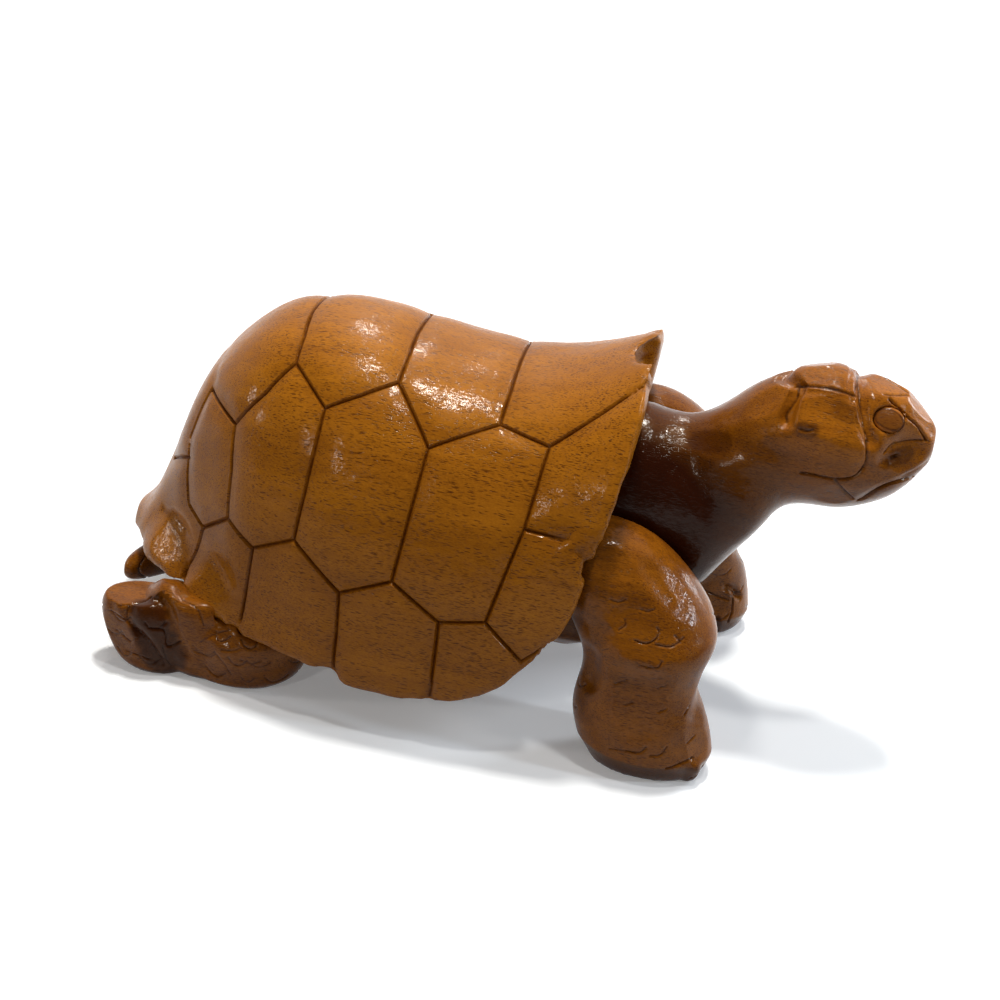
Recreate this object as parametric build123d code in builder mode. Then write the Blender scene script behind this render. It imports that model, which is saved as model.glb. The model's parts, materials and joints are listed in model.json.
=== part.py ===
"""Walking saddle-backed tortoise: hardwood carvings that are doweled and glued together."""
import math
import os

from build123d import *

os.makedirs("parts", exist_ok=True)

# Whole figure: +X is the way the tortoise walks, +Z is up, the soles stand on Z = 0
overall_length = 252.0

# Carapace
shell_length = 170.0
shell_width = 123.0
shell_crest = 116.0
rim_height = 14.0
shell_wall = 6.0
rim_wall = 4.5
flare_height = 18.0
arch_power = 2.5
arch_steps = 9
arch_bunching = 1.5
notch_radius = 3.0
nuchal_radius = 15.0
groove_width = 1.5
groove_depth = 0.9

# Trunk: how far its ends and its bridge lie in from the shell's ends and sides
trunk_width = 52.0
trunk_setback = 34.0
neck_setback = 12.0
bridge_side_setback = 14.5
plastron_height = 20.0
rear_seat = 62.0
front_seat = 96.0
plastron_chamfer = 7.0

# Head and neck
head_top = 127.0
head_width = 37.0
neck_gap = 0.6
channel_width = 3.0
channel_depth = 1.2

# Eyes
eye_length = 9.6
eye_height = 8.0
eye_depth = 4.0
eye_bulge = 0.7
eye_lean = 40.0

# Front legs: strides run ahead from the neck's joint, sides out from the middle
front_leg_length = 43.0
front_leg_width = 31.0
right_shoulder_height = 76.0
right_stride = 24.5
right_sole_side = 43.5
left_shoulder_height = 91.0
left_stride = 29.0
left_sole_side = 46.0

# Hind legs: the setback runs ahead from the shell's rear end
haunch_height = 48.0
haunch_length = 42.0
haunch_width = 27.0
haunch_side = 41.0
hind_foot_height = 25.5
hind_foot_setback = 18.0
hind_foot_length = 30.0
hind_foot_width = 19.0
hind_foot_side = 45.0
shin_length = 34.0
shin_width = 19.0
shin_height = 28.0

# Tail
tail_setback = 2.0
tail_root_height = 32.0
tail_tip_height = 16.0
tail_tip_side = -18.0
tail_width = 21.0
tail_room = 3.0

# Glued dowels: each is a little thinner and shorter than the bores it sits in
glue_gap = 0.1
neck_dowel_diameter = 12.0
leg_dowel_diameter = 8.0
tail_dowel_diameter = 6.0
shell_dowel_diameter = 10.0
dowel_depth_ratio = 1.3
leg_dowel_inset = 6.5

# Shares that shape the carvings
# Along the shell from the rear, then half width, rim edge, crest and how far the rim flares
shell_station_shares = (
    (0.000, 0.10, 0.11, 0.17, 0.25),
    (0.022, 0.17, 0.12, 0.20, 0.35),
    (0.047, 0.25, 0.12, 0.28, 0.42),
    (0.075, 0.31, 0.12, 0.42, 0.44),
    (0.112, 0.40, 0.12, 0.63, 0.40),
    (0.165, 0.54, 0.11, 0.80, 0.28),
    (0.235, 0.71, 0.09, 0.92, 0.13),
    (0.330, 0.86, 0.06, 0.98, 0.05),
    (0.435, 0.95, 0.04, 0.985, 0.01),
    (0.540, 0.99, 0.00, 0.96, 0.00),
    (0.670, 1.00, 0.00, 0.935, 0.00),
    (0.770, 0.99, 0.00, 0.945, 0.00),
    (0.860, 0.97, 0.00, 0.99, 0.00),
    (0.955, 0.96, 0.00, 1.07, 0.00),
    (1.000, 0.95, 0.00, 1.11, 0.00),
)
# The front edge of the shell seen from the side, from the nuchal rim down to the bridge
rim_line_shares = (
    (0.957, 1.18),
    (0.962, 0.96),
    (0.950, 0.77),
    (0.922, 0.53),
    (0.890, 0.32),
    (0.846, 0.21),
    (0.764, 0.07),
    (0.640, 0.01),
    (0.518, 0.00),
)
# Nicks in the shell's edge where two marginal scutes meet: along, up and size
rim_notch_shares = (
    (0.150, 0.110, 0.7),
    (0.280, 0.070, 0.7),
    (0.468, 0.010, 1.4),
    (0.640, 0.000, 0.7),
    (0.934, 0.540, 1.3),
)
# Grooves round the scutes of the back, seen from above: runs of places along and out to each side
back_groove_shares = (
    ((0.156, 0.272), (0.228, 0.535), (0.324, 0.419), (0.399, 0.609), (0.517, 0.425), (0.597, 0.663),
     (0.711, 0.497), (0.807, 0.579), (0.962, 0.325)),
    ((0.156, 0.0), (0.156, 0.272)),
    ((0.324, 0.0), (0.324, 0.419)),
    ((0.519, 0.0), (0.517, 0.425)),
    ((0.713, 0.0), (0.711, 0.497)),
)
# Grooves round the scutes of the sides and the rim, seen from the side: runs of places along and up
side_groove_shares = (
    ((0.156, 0.722), (0.127, 0.559), (0.145, 0.364), (0.184, 0.326), (0.242, 0.423), (0.303, 0.377),
     (0.381, 0.455), (0.481, 0.334), (0.574, 0.408), (0.669, 0.310), (0.753, 0.337), (0.827, 0.231),
     (0.874, 0.280)),
    ((0.228, 0.701), (0.242, 0.423)),
    ((0.399, 0.839), (0.381, 0.455)),
    ((0.597, 0.791), (0.574, 0.408)),
    ((0.807, 0.847), (0.793, 0.634), (0.753, 0.337)),
    ((0.793, 0.634), (0.927, 0.632)),
    ((0.131, 0.501), (0.083, 0.424)),
    ((0.184, 0.326), (0.156, 0.154)),
    ((0.303, 0.377), (0.293, 0.124)),
    ((0.481, 0.334), (0.488, 0.062)),
    ((0.669, 0.310), (0.672, 0.041)),
)
# Along the neck and head, then top, underside and half width; the eyes sit on the first of these
eye_section_share = (0.832, 0.976, 0.664, 0.876)
neck_station_shares = (
    (0.00, 0.790, 0.220, 1.32),
    (0.12, 0.790, 0.260, 1.28),
    (0.23, 0.800, 0.300, 1.20),
    (0.32, 0.850, 0.355, 1.10),
    (0.39, 0.905, 0.430, 1.02),
    (0.47, 0.950, 0.520, 0.97),
    (0.54, 0.983, 0.600, 0.96),
    (0.63, 1.000, 0.630, 1.00),
    (0.72, 0.990, 0.636, 1.00),
    eye_section_share,
    (0.88, 0.966, 0.685, 0.79),
    (0.94, 0.938, 0.730, 0.61),
    (0.98, 0.905, 0.775, 0.40),
    (1.00, 0.880, 0.805, 0.24),
)
# Along the shell: the rear and front ends of the bridge
bridge_share = (0.459, 0.694)
# Channels behind the head's top plate and over the brow, and the mouth, seen from the side
channel_shares = (
    ((0.529, 0.960), (0.517, 0.935), (0.509, 0.887)),
    ((0.690, 1.010), (0.716, 0.966), (0.748, 0.916), (0.774, 0.883)),
)
mouth_shares = (
    ((0.802, 0.718), (0.844, 0.756), (0.891, 0.775), (0.931, 0.796), (0.990, 0.816)),
)
# Up each limb: height, then place forward and sideways, then length and width
front_leg_shares = (
    (0.00, 0.00, 0.00, 0.98, 0.97),
    (0.08, -0.01, 0.00, 1.01, 1.01),
    (0.20, -0.07, 0.00, 1.02, 1.00),
    (0.30, -0.11, -0.02, 0.95, 0.97),
    (0.40, -0.13, -0.05, 0.87, 0.94),
    (0.53, -0.14, -0.10, 0.96, 1.03),
    (0.65, -0.22, -0.24, 1.12, 1.13),
    (0.75, -0.38, -0.33, 1.21, 1.16),
    (0.84, -0.49, -0.37, 1.12, 1.06),
    (0.90, -0.53, -0.39, 0.95, 0.93),
    (0.95, -0.55, -0.40, 0.72, 0.74),
    (0.985, -0.55, -0.40, 0.42, 0.48),
    (1.00, -0.55, -0.40, 0.20, 0.26),
)
haunch_shares = (
    (0.00, -0.01, 0.02, 0.70, 0.72),
    (0.08, 0.00, 0.02, 0.86, 0.92),
    (0.25, 0.02, 0.00, 0.98, 1.00),
    (0.39, 0.02, -0.03, 0.95, 0.98),
    (0.51, 0.09, -0.16, 0.78, 0.90),
    (0.64, 0.14, -0.28, 0.70, 0.86),
    (0.80, 0.16, -0.34, 0.60, 0.74),
    (0.94, 0.16, -0.38, 0.42, 0.52),
    (1.00, 0.16, -0.38, 0.22, 0.28),
)
haunch_share = 0.288
hip_dowel_share = (0.12, 0.70)
shoulder_dowel_share = 0.78
hind_foot_shares = (
    (0.00, 0.12, 0.00, 0.66, 0.80),
    (0.16, 0.08, 0.00, 0.82, 0.96),
    (0.47, 0.02, 0.00, 0.94, 1.00),
    (0.78, -0.03, -0.01, 0.94, 0.96),
    (1.00, -0.05, -0.02, 0.70, 0.74),
)
# Along the tail, then how far it has bent aside and sunk towards its tip, and its thickness
tail_shares = (
    (0.00, 0.00, 0.00, 1.00),
    (0.36, 0.08, 0.52, 0.86),
    (0.64, 0.38, 0.90, 0.70),
    (0.84, 0.76, 0.95, 0.60),
    (0.96, 0.94, 1.00, 0.42),
    (1.00, 1.00, 1.00, 0.26),
)

# Derived places
shell_rear = -overall_length / 2
nose_tip = overall_length / 2
shell_rise = shell_crest - rim_height
overrun = shell_width
trunk_rear = shell_rear + trunk_setback
neck_plane = shell_rear + shell_length - neck_setback
bridge_rear, bridge_front = (shell_rear + shell_length * share for share in bridge_share)
bridge_width = shell_width - 2 * bridge_side_setback
haunch_forward = shell_rear + shell_length * haunch_share
hind_foot_forward = shell_rear + hind_foot_setback
tail_end = shell_rear + tail_setback


def arch_outline(half_width, base, crest, flare):
    """Points of one cross-section of the shell, from the left rim over the crest to the right."""
    left = []
    for step in range(arch_steps):
        angle = math.pi / 2 * (step / arch_steps) ** arch_bunching
        up = (crest - base) * math.sin(angle) ** (2 / arch_power)
        spread = 1 + flare * max(0, 1 - up / flare_height) ** 2
        left.append((half_width * math.cos(angle) ** (2 / arch_power) * spread, base + up))
    right = [(-across, up) for across, up in reversed(left)]
    return [*left, (0, crest), *right]


def shell_arch(inset, stations, flared):
    """The shell's arch, lofted lengthwise and drawn in by an inset, with or without the rim's flare."""
    with BuildPart() as arch:
        for along, half, low, high, flare in stations:
            base = rim_height + shell_rise * low
            crest = rim_height + shell_rise * high
            outline = arch_outline(shell_width / 2 * half - inset, base - inset, crest - inset,
                                   flare if flared else 0)
            with BuildSketch(Plane.YZ.offset(shell_rear + shell_length * along)):
                with BuildLine():
                    Spline(*outline)
                    Line(outline[-1], outline[0])
                make_face()
        loft()
    return arch.part


def rim_point(along, up):
    """A point of the shell seen from the side."""
    return (shell_rear + shell_length * along, rim_height + shell_rise * up)


def right_back_point(along, out):
    """A point of the shell's right half seen from above."""
    return (shell_rear + shell_length * along, -shell_width / 2 * out)


def left_back_point(along, out):
    """A point of the shell's left half seen from above."""
    return (shell_rear + shell_length * along, shell_width / 2 * out)


def neck_point(along, up):
    """A point of the neck or head seen from the side."""
    return (neck_plane + (nose_tip - neck_plane) * along, head_top * up)


def neck_loft(inset):
    """The neck and head, lofted from the shell out to the beak and drawn in by an inset."""
    with BuildPart() as carving:
        for along, top, low, half in neck_station_shares:
            with BuildSketch(Plane.YZ.offset(neck_point(along, 0)[0])):
                with Locations((0, head_top * (top + low) / 2)):
                    Ellipse(head_width / 2 * half - inset, head_top * (top - low) / 2 - inset)
        loft()
    return carving.part


def groove_bars(runs, point, width):
    """Thin bars along runs of places, each bar reaching a little past its ends. Used in a sketch."""
    for run in runs:
        for first, last in zip(run, run[1:]):
            start, end = point(*first), point(*last)
            ahead, aside = end[0] - start[0], end[1] - start[1]
            with Locations(((start[0] + end[0]) / 2, (start[1] + end[1]) / 2)):
                Rectangle(math.hypot(ahead, aside) + width, width,
                          rotation=math.degrees(math.atan2(aside, ahead)))


def limb(forward, side, height, length, width, shares, side_sign):
    """A limb lofted upwards through level ellipses."""
    with BuildPart() as carving:
        for up, ahead, outward, long, wide in shares:
            with BuildSketch(Plane.XY.offset(height * up)):
                with Locations((forward + length * ahead, side_sign * (side + width * outward))):
                    Ellipse(length * long / 2, width * wide / 2)
        loft()
    return carving.part


def dowel(plane, diameter):
    """A round dowel, half of it on each side of a glued joint."""
    with BuildPart() as pin:
        with BuildSketch(plane.offset(-diameter * dowel_depth_ratio)):
            Circle(diameter / 2 - glue_gap)
        extrude(amount=2 * diameter * dowel_depth_ratio)
    return pin.part


def dowel_bore(plane, diameter):
    """The space that a dowel and its glue take up."""
    with BuildPart() as bore:
        with BuildSketch(plane.offset(-diameter * dowel_depth_ratio - glue_gap)):
            Circle(diameter / 2)
        extrude(amount=2 * (diameter * dowel_depth_ratio + glue_gap))
    return bore.part


# Joint planes, each facing out of the trunk, with its origin on the dowel's axis
shoulder_dowel_forward = neck_plane - leg_dowel_inset
hip_dowel_forward = haunch_forward + haunch_length * hip_dowel_share[0]
hip_dowel_level = haunch_height * hip_dowel_share[1]
neck_joint = Plane((neck_plane, 0, head_top / 2), x_dir=(0, 1, 0), z_dir=(1, 0, 0))
tail_joint = Plane((trunk_rear, 0, tail_root_height), x_dir=(0, 1, 0), z_dir=(-1, 0, 0))
shell_joints = {
    "rear_shell_dowel": Plane((bridge_rear, 0, rear_seat), x_dir=(1, 0, 0), z_dir=(0, 0, 1)),
    "front_shell_dowel": Plane((bridge_front + shell_dowel_diameter * 2, 0, front_seat),
                               x_dir=(1, 0, 0), z_dir=(0, 0, 1)),
}
side_signs = {"right": -1, "left": 1}
front_soles = {
    "right": (neck_plane + right_stride, right_sole_side),
    "left": (neck_plane + left_stride, left_sole_side),
}
shoulder_heights = {"right": right_shoulder_height, "left": left_shoulder_height}
shoulder_joints = {}
hip_joints = {}
for side, sign in side_signs.items():
    shoulder_joints[side] = Plane(
        (shoulder_dowel_forward, sign * trunk_width / 2, shoulder_heights[side] * shoulder_dowel_share),
        x_dir=(1, 0, 0), z_dir=(0, sign, 0))
    hip_joints[side] = Plane(
        (hip_dowel_forward, sign * trunk_width / 2, hip_dowel_level),
        x_dir=(1, 0, 0), z_dir=(0, sign, 0))

# Space hollowed out under the shell: a flat seat for the trunk and a taller one for the shoulders
with BuildPart() as rear_hollow:
    add(shell_arch(shell_wall, shell_station_shares[3:], False))
    split(bisect_by=Plane.XY.offset(rear_seat), keep=Keep.BOTTOM)
    # Behind the trunk it is only as tall as the tail needs, so that the steep rear wall stays thick
    with BuildSketch(Plane.XY.offset(tail_root_height + tail_width / 2 + tail_room)):
        with Locations((trunk_rear - tail_room - overrun / 2, 0)):
            Rectangle(overrun, 2 * overrun)
    extrude(amount=overrun, mode=Mode.SUBTRACT)
with BuildPart() as front_hollow:
    add(shell_arch(rim_wall, shell_station_shares[3:], False))
    split(bisect_by=Plane.XY.offset(front_seat), keep=Keep.BOTTOM)
    split(bisect_by=Plane.YZ.offset(bridge_front), keep=Keep.TOP)

# Carapace, before its scutes are carved: a saddle-backed arch, its front edge swept back to the bridge
with BuildPart() as smooth_carapace:
    add(shell_arch(0, shell_station_shares, True))
    with BuildSketch(Plane.XZ) as ahead_of_rim:
        with BuildLine():
            edge = [rim_point(*share) for share in rim_line_shares]
            Spline(*edge)
            Polyline(edge[-1], (edge[-1][0], -overrun), (overrun, -overrun), (overrun, edge[0][1]), edge[0])
        make_face()
    extrude(amount=overrun, both=True, mode=Mode.SUBTRACT)
    add(rear_hollow.part, mode=Mode.SUBTRACT)
    add(front_hollow.part, mode=Mode.SUBTRACT)
    # The neck passes out under the nuchal rim, which is scooped away above it
    _, root_top, root_low, root_half = neck_station_shares[0]
    with BuildSketch(Plane.YZ.offset(neck_plane)):
        with Locations((0, head_top * (root_top + root_low) / 2)):
            Ellipse(head_width / 2 * root_half + neck_gap,
                    head_top * (root_top - root_low) / 2 + neck_gap * 2)
    extrude(amount=overrun, mode=Mode.SUBTRACT)
    nuchal_x, _ = rim_point(*rim_line_shares[1])
    with Locations((nuchal_x + nuchal_radius / 2, 0, shell_crest - nuchal_radius / 8)):
        Sphere(nuchal_radius, mode=Mode.SUBTRACT)
    for along, up, size in rim_notch_shares:
        notch_x, notch_z = rim_point(along, up)
        with Locations((notch_x, 0, notch_z)):
            Cylinder(notch_radius * size, 2 * overrun, rotation=(90, 0, 0), mode=Mode.SUBTRACT)
    for joint in shell_joints.values():
        add(dowel_bore(joint, shell_dowel_diameter), mode=Mode.SUBTRACT)

# The grooves are as deep as the wood outside a slightly smaller arch
with BuildPart() as grooves:
    with BuildSketch(Plane.XY.offset(rim_height + shell_rise / 2)):
        groove_bars(back_groove_shares, right_back_point, groove_width)
        groove_bars(back_groove_shares, left_back_point, groove_width)
    extrude(amount=shell_rise)
    with BuildSketch(Plane.XZ):
        groove_bars(side_groove_shares, rim_point, groove_width)
    extrude(amount=shell_width, both=True)
    add(shell_arch(groove_depth, shell_station_shares, True), mode=Mode.SUBTRACT)
with BuildPart() as carapace:
    add(smooth_carapace.part)
    add(grooves.part, mode=Mode.SUBTRACT)
carapace.part.label = "carapace"
export_step(carapace.part, "parts/carapace.step")

# Trunk: the body block with the flat plastron below and the bridge out to the shell's sides
with BuildPart() as trunk:
    with BuildSketch(Plane.XY.offset(plastron_height)):
        with Locations(((trunk_rear + neck_plane) / 2, 0)):
            Rectangle(neck_plane - trunk_rear, trunk_width)
        with Locations(((bridge_rear + bridge_front) / 2, 0)):
            Rectangle(bridge_front - bridge_rear, bridge_width)
    extrude(amount=rear_seat - plastron_height)
    chamfer(trunk.faces().sort_by(Axis.Z)[0].edges(), plastron_chamfer)
    with BuildSketch(Plane.XY.offset(rear_seat)):
        with Locations(((bridge_front + neck_plane) / 2 + shell_wall / 2, 0)):
            Rectangle(neck_plane - bridge_front - shell_wall, trunk_width)
    extrude(amount=front_seat - rear_seat)
    add(dowel_bore(neck_joint, neck_dowel_diameter), mode=Mode.SUBTRACT)
    add(dowel_bore(tail_joint, tail_dowel_diameter), mode=Mode.SUBTRACT)
    for joint in shell_joints.values():
        add(dowel_bore(joint, shell_dowel_diameter), mode=Mode.SUBTRACT)
    for joint in (*shoulder_joints.values(), *hip_joints.values()):
        add(dowel_bore(joint, leg_dowel_diameter), mode=Mode.SUBTRACT)
trunk.part.label = "trunk"
export_step(trunk.part, "parts/trunk.step")

# Eyes: domed oval plugs let into the sides of the head, each square to the section it sits on
eye_along, eye_top, eye_low, eye_half = eye_section_share
lean_side = math.cos(math.radians(eye_lean))
lean_up = math.sin(math.radians(eye_lean))
half_across = head_width / 2 * eye_half
half_tall = head_top * (eye_top - eye_low) / 2
reach = math.hypot(half_across * lean_side, half_tall * lean_up)
eye_forward = neck_plane + (nose_tip - neck_plane) * eye_along
eye_side = half_across ** 2 * lean_side / reach
eye_level = head_top * (eye_top + eye_low) / 2 + half_tall ** 2 * lean_up / reach
eye_planes = {}
for side, sign in side_signs.items():
    eye_planes[side] = Plane((eye_forward, sign * eye_side, eye_level), x_dir=(1, 0, 0),
                             z_dir=(0, sign * lean_side, lean_up))

# Head and neck in one carving, with its channels and mouth as deep as the wood outside a smaller loft
with BuildPart() as channels:
    with BuildSketch(Plane.XZ):
        groove_bars(channel_shares, neck_point, channel_width)
        groove_bars(mouth_shares, neck_point, groove_width)
    extrude(amount=head_width, both=True)
    add(neck_loft(channel_depth), mode=Mode.SUBTRACT)
with BuildPart() as head_and_neck:
    add(neck_loft(0))
    add(channels.part, mode=Mode.SUBTRACT)
    for eye_plane in eye_planes.values():
        with BuildSketch(eye_plane.offset(-eye_depth)):
            Ellipse(eye_length / 2 + glue_gap, eye_height / 2 + glue_gap)
        extrude(amount=eye_depth + head_width, mode=Mode.SUBTRACT)
    add(dowel_bore(neck_joint, neck_dowel_diameter), mode=Mode.SUBTRACT)
head_and_neck.part.label = "head_and_neck"
export_step(head_and_neck.part, "parts/head_and_neck.step")

for side, eye_plane in eye_planes.items():
    with BuildPart() as eye:
        with BuildSketch(eye_plane.offset(-eye_depth)):
            Ellipse(eye_length / 2, eye_height / 2)
        extrude(amount=eye_depth + eye_bulge)
        fillet(eye.faces().sort_by(Axis.Z)[-1].edges(), eye_bulge * 0.8)
    eye.part.label = f"{side}_eye"
    export_step(eye.part, f"parts/{side}_eye.step")

# Front legs: straight columns whose shoulders reach back under the shell
for side, sign in side_signs.items():
    with BuildPart() as front_leg:
        add(limb(*front_soles[side], shoulder_heights[side], front_leg_length,
                 front_leg_width, front_leg_shares, sign))
        split(bisect_by=shoulder_joints[side], keep=Keep.TOP)
        add(smooth_carapace.part, mode=Mode.SUBTRACT)
        add(dowel_bore(shoulder_joints[side], leg_dowel_diameter), mode=Mode.SUBTRACT)
    front_leg.part.label = f"{side}_front_leg"
    export_step(front_leg.part, f"parts/{side}_front_leg.step")

# Hind legs: a folded haunch on the ground, and the foot stretched out behind it
for side, sign in side_signs.items():
    with BuildPart() as hind_leg:
        add(limb(haunch_forward, haunch_side, haunch_height, haunch_length,
                 haunch_width, haunch_shares, sign))
        add(limb(hind_foot_forward, hind_foot_side, hind_foot_height, hind_foot_length,
                 hind_foot_width, hind_foot_shares, sign))
        add(limb((haunch_forward + hind_foot_forward) / 2, (haunch_side + hind_foot_side) / 2, shin_height,
                 shin_length, shin_width, hind_foot_shares, sign))
        split(bisect_by=hip_joints[side], keep=Keep.TOP)
        add(smooth_carapace.part, mode=Mode.SUBTRACT)
        add(dowel_bore(hip_joints[side], leg_dowel_diameter), mode=Mode.SUBTRACT)
    hind_leg.part.label = f"{side}_hind_leg"
    export_step(hind_leg.part, f"parts/{side}_hind_leg.step")

# Tail: a short cone that hangs down behind the trunk
with BuildPart() as tail:
    for along, aside, down, thick in tail_shares:
        with BuildSketch(Plane.YZ.offset(trunk_rear + (tail_end - trunk_rear) * along)):
            level = tail_root_height + (tail_tip_height - tail_root_height) * down
            with Locations((tail_tip_side * aside, level)):
                Circle(tail_width / 2 * thick)
    loft()
    add(dowel_bore(tail_joint, tail_dowel_diameter), mode=Mode.SUBTRACT)
tail.part.label = "tail"
export_step(tail.part, "parts/tail.step")

# Dowels
dowel_places = {
    "neck_dowel": (neck_joint, neck_dowel_diameter),
    "tail_dowel": (tail_joint, tail_dowel_diameter),
}
for name, joint in shell_joints.items():
    dowel_places[name] = (joint, shell_dowel_diameter)
for side in side_signs:
    dowel_places[f"{side}_shoulder_dowel"] = (shoulder_joints[side], leg_dowel_diameter)
    dowel_places[f"{side}_hip_dowel"] = (hip_joints[side], leg_dowel_diameter)
for name, (joint, diameter) in dowel_places.items():
    pin = dowel(joint, diameter)
    pin.label = name
    export_step(pin, f"parts/{name}.step")
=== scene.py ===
# %% [markdown]
# # A carved wooden tortoise
# The real figure is hardwood, cut to shape with gouges and knives, stained in the grooves and
# lacquered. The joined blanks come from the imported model. Each blank is dressed here: it is
# copied, given a fine even skin, carved along lines read off the photograph, and finished with
# wood grain.

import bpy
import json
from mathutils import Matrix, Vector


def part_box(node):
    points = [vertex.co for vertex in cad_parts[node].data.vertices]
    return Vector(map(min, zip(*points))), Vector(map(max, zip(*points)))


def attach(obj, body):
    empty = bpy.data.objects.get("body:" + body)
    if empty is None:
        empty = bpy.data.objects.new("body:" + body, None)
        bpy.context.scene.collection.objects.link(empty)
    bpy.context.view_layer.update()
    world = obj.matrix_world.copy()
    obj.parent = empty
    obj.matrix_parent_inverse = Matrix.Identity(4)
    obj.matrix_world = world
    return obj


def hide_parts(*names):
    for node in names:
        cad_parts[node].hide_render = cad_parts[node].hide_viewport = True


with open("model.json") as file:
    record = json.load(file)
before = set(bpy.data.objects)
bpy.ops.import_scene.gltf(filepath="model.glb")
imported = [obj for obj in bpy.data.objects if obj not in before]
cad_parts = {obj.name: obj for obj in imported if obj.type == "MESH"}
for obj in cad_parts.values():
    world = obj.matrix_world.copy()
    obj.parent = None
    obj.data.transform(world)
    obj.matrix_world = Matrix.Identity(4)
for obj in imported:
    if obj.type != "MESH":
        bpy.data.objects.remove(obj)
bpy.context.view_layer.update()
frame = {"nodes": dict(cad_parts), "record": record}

# %% Tools and the unit
import json
import math
import random
from contextlib import contextmanager

import bmesh
import bpy
import numpy as np
from mathutils import Matrix, Vector, noise
from mathutils.bvhtree import BVHTree

mm = 0.001
scene = bpy.context.scene

# %% [markdown]
# ## The camera
# A camera is easiest to match when its direction is built from three turns: round the object, up
# over it, and a roll, because the photograph was taken a little askew. The same three turns also
# send a ray back through any pixel, so a carved line can be read off the photograph and put
# on the wood that carries it.

# %% Camera from azimuth, elevation and roll
photo_side = 1000
azimuth = math.radians(6)
elevation = math.radians(30)
roll = math.radians(8)
camera_place = Vector((0.06047, -0.62289, 0.41955))
lens_mm = 80
sensor_mm = 36

level_right = Vector((math.cos(azimuth), math.sin(azimuth), 0))
level_up = Vector((-math.sin(azimuth) * math.sin(elevation),
                   math.cos(azimuth) * math.sin(elevation), math.cos(elevation)))
view_right = level_right * math.cos(roll) + level_up * math.sin(roll)
view_up = level_up * math.cos(roll) - level_right * math.sin(roll)
view_ahead = -view_right.cross(view_up)

camera_data = bpy.data.cameras.new("camera")
camera_data.lens = lens_mm
camera_data.sensor_width = sensor_mm
camera_data.clip_end = 20
camera = bpy.data.objects.new("camera", camera_data)
camera.matrix_world = Matrix.Translation(camera_place) @ Matrix(
    (view_right, view_up, -view_ahead)).transposed().to_4x4()
scene.collection.objects.link(camera)
scene.camera = camera
print("camera looks along", [round(v, 3) for v in view_ahead])

# %% Rays through pixels
pixel_size = sensor_mm / lens_mm / photo_side
mm_to_figure = range(560, 860, 4)


def ray_through(pixel):
    """The direction from the camera through one pixel of the photograph."""
    across, down = pixel
    return (view_ahead + view_right * (across - photo_side / 2) * pixel_size
            + view_up * (photo_side / 2 - down) * pixel_size).normalized()


def touched(tree, pixel):
    """Where the ray through a pixel meets the wood, or passes nearest to it, and its facing."""
    ahead = ray_through(pixel)
    place, facing, _, _ = tree.ray_cast(camera_place, ahead)
    if place is None:
        near = [tree.find_nearest(camera_place + ahead * step * mm) for step in mm_to_figure]
        place, facing, _, _ = min(
            near, key=lambda found: (found[0] - camera_place).cross(ahead).length)
    return place, facing


# %% [markdown]
# ## Blanks with an even skin
# A CAD mesh has long thin triangles that can't be bent into detail. A voxel remesh lays an even
# net over a copy, and a little smoothing rounds the sharp edges as sanding does. The carving
# then moves the points of that net, or cuts new edges into it.

# %% Open, smooth and split nets
@contextmanager
def opened(mesh):
    """Opens a mesh for bmesh operators, and keeps what they do to it."""
    shape = bmesh.new()
    shape.from_mesh(mesh)
    shape.verts.ensure_lookup_table()
    yield shape
    shape.to_mesh(mesh)
    shape.free()


def sand(shape, verts, passes):
    """Smooths some points of an open net, a little with each pass."""
    for _ in range(passes):
        bmesh.ops.smooth_vert(shape, verts=verts, factor=0.5,
                              use_axis_x=True, use_axis_y=True, use_axis_z=True)


def split_many_sided(shape):
    """Cuts the faces with more than four corners into triangles."""
    bmesh.ops.triangulate(shape, faces=[face for face in shape.faces if len(face.verts) > 4])


# %% Make an even skin over a blank
weld = 0.01 * mm


def even_skin(node, name, net, passes):
    """A copy of a CAD node with an even net of faces over it."""
    mesh = frame["nodes"][node].data.copy()
    with opened(mesh) as shape:
        bmesh.ops.remove_doubles(shape, verts=shape.verts, dist=weld)
    blank = bpy.data.objects.new(name, mesh)
    scene.collection.objects.link(blank)
    remesh = blank.modifiers.new("even skin", "REMESH")
    remesh.mode = "VOXEL"
    remesh.voxel_size = net
    blank.data = bpy.data.meshes.new_from_object(
        blank.evaluated_get(bpy.context.evaluated_depsgraph_get()))
    blank.modifiers.clear()
    blank.data.name = name
    blank.data.materials.clear()
    with opened(blank.data) as shape:
        sand(shape, shape.verts, passes)
    print(name, "has", len(blank.data.polygons), "faces")
    return blank


def ease(blank, runs, reach, passes):
    """Smooths the wood beside runs of marks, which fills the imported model's plain grooves."""
    near = beside(read_points(blank)[0], runs, reach)
    with opened(blank.data) as shape:
        sand(shape, [shape.verts[i] for i in np.flatnonzero(near)], passes)


def soften_rims(blank, sharpness, rings, passes):
    """Smooths a band along the sharp edges, as sandpaper does, which also evens a ragged rim."""
    with opened(blank.data) as shape:
        band = {vert for edge in shape.edges
                if edge.is_manifold and edge.calc_face_angle() > sharpness
                for vert in edge.verts}
        for _ in range(rings):
            band |= {edge.other_vert(vert) for vert in band for edge in vert.link_edges}
        sand(shape, list(band), passes)
    print(blank.name, "is sanded along", len(band), "points")


def skin_tree(blank):
    """A search tree over a blank's faces."""
    shape = bmesh.new()
    shape.from_mesh(blank.data)
    tree = BVHTree.FromBMesh(shape)
    shape.free()
    return tree


# %% Read and move the points of a blank, and paint numbers on them
out_of_reach = 1.0


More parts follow.
